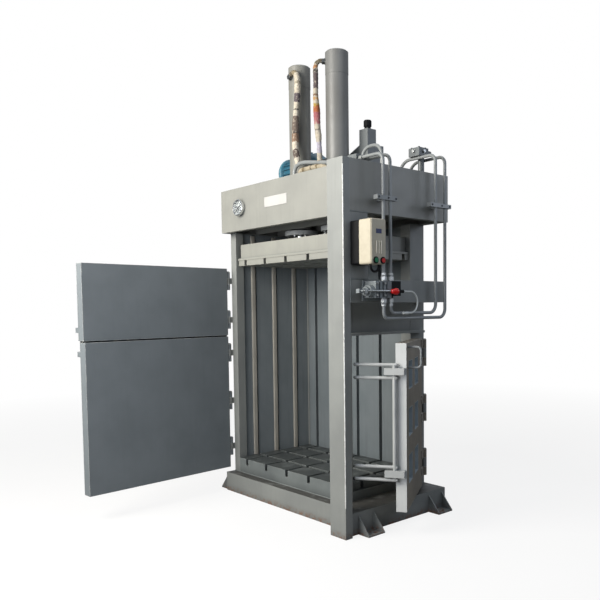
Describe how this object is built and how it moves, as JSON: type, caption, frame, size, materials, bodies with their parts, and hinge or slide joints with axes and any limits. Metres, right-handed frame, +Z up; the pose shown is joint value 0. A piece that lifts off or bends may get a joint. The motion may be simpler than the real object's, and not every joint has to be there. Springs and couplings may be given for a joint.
{
  "type": "recycling baler",
  "caption": "Upright baling press with stacked front doors, a side door with latch bar, a grid-faced platen on twin cylinders, a hand valve and a push-button box.",
  "frame": {"origin": "centre of the foot bolt rectangle, on the floor", "axes": "+X to the right seen from the front, +Y to the back, +Z up"},
  "size_m": [2.1095, 2.2327, 3.617],
  "materials": {
    "frame_paint": "satin",
    "wall_paint": "satin",
    "bright_steel": "satin",
    "chrome": "polished",
    "valve_metal": "matte",
    "black_plastic": "matte",
    "cream_plastic": "matte",
    "green_plastic": "gloss",
    "red_plastic": "gloss",
    "motor_paint": "satin",
    "wrapped_hose": "matte",
    "dial_white": "matte",
    "window_glass": "polished",
    "plate_metal": "satin"
  },
  "bodies": {
    "frame": {"base_frame": "frame_paint", "anchor_feet": "frame_paint", "tall_post": "frame_paint", "chamber_posts": "frame_paint", "head_frame": "frame_paint", "head_deck": "frame_paint", "mid_beam": "frame_paint", "side_lintel": "frame_paint", "left_wall": "wall_paint", "back_wall": "wall_paint", "floor_grid": "wall_paint", "cylinder_left": "frame_paint", "cylinder_right": "frame_paint", "cylinder_cap_left": "frame_paint", "cylinder_cap_right": "frame_paint", "hinge_leaves": "frame_paint", "hinge_pins": "bright_steel", "control_box_back": "black_plastic", "control_box_cover": "cream_plastic", "control_cable": "black_plastic", "valve_body": "valve_metal", "valve_end": "black_plastic", "tube_1": "frame_paint", "tube_2": "frame_paint", "tube_3": "frame_paint", "tube_4": "frame_paint", "tube_clamps": "frame_paint", "pilot_hose": "black_plastic", "motor": "motor_paint", "fan_cowl": "motor_paint", "pump": "motor_paint", "oil_tank": "wall_paint", "filler_cap": "black_plastic", "return_arch": "frame_paint", "deck_block": "frame_paint", "header_pipe": "frame_paint", "cap_hose_left": "wrapped_hose", "cap_hose_right": "wrapped_hose", "relief_valve": "frame_paint", "gauge_case": "bright_steel", "gauge_dial": "dial_white", "gauge_window": "window_glass", "name_plate": "plate_metal"},
    "platen": {"platen_plate": "frame_paint", "platen_beam": "frame_paint", "press_rod_left": "bright_steel", "press_rod_right": "bright_steel", "rod_foot_bolts": "bright_steel"},
    "upper_door_leaf": {"upper_door": "wall_paint"},
    "lower_door_leaf": {"lower_door": "wall_paint"},
    "side_door_leaf": {"side_door": "wall_paint", "side_handle": "frame_paint", "latch_lugs": "frame_paint"},
    "latch_bar": {"side_latch": "frame_paint"},
    "lever": {"valve_lever": "chrome", "lever_knob": "red_plastic"},
    "start_button": {"green_button": "green_plastic"},
    "stop_button": {"red_button": "red_plastic"},
    "needle": {"gauge_needle": "red_plastic"}
  },
  "joints": [
    {"name": "platen_stroke", "type": "slide", "parent": "frame", "child": "platen", "axis": [0, 0, -1], "range_m": [0, 1.1]},
    {"name": "upper_door_hinge", "type": "hinge", "parent": "frame", "child": "upper_door_leaf", "pos_m": [-0.862, -0.424, 1.65], "axis": [0, 0, 1], "range_deg": [-93, 87]},
    {"name": "lower_door_hinge", "type": "hinge", "parent": "frame", "child": "lower_door_leaf", "pos_m": [-0.862, -0.424, 0.78], "axis": [0, 0, 1], "range_deg": [-94, 86]},
    {"name": "side_door_hinge", "type": "hinge", "parent": "frame", "child": "side_door_leaf", "pos_m": [0.698, 0.378, 0.77], "axis": [0, 0, -1], "range_deg": [-147, 33]},
    {"name": "latch_turn", "type": "hinge", "parent": "side_door_leaf", "child": "latch_bar", "pos_m": [1.05488, -0.34413, 0.8], "axis": [0, 0, 1], "range_deg": [-60, 100]},
    {"name": "lever_tilt", "type": "hinge", "parent": "frame", "child": "lever", "pos_m": [0.985, -0.545, 1.706], "axis": [1, 0, 0], "range_deg": [-12, 12]},
    {"name": "start_press", "type": "slide", "parent": "frame", "child": "start_button", "axis": [-1, 0, 0], "range_m": [0, 0.004], "stiffness_N_per_m": 800},
    {"name": "stop_press", "type": "slide", "parent": "frame", "child": "stop_button", "axis": [-1, 0, 0], "range_m": [0, 0.004], "stiffness_N_per_m": 800},
    {"name": "needle_swing", "type": "hinge", "parent": "frame", "child": "needle", "pos_m": [-0.558, -0.505, 2.432], "axis": [0, 1, 0], "range_deg": [0, 250], "stiffness_Nm_per_rad": 0.02}
  ]
}
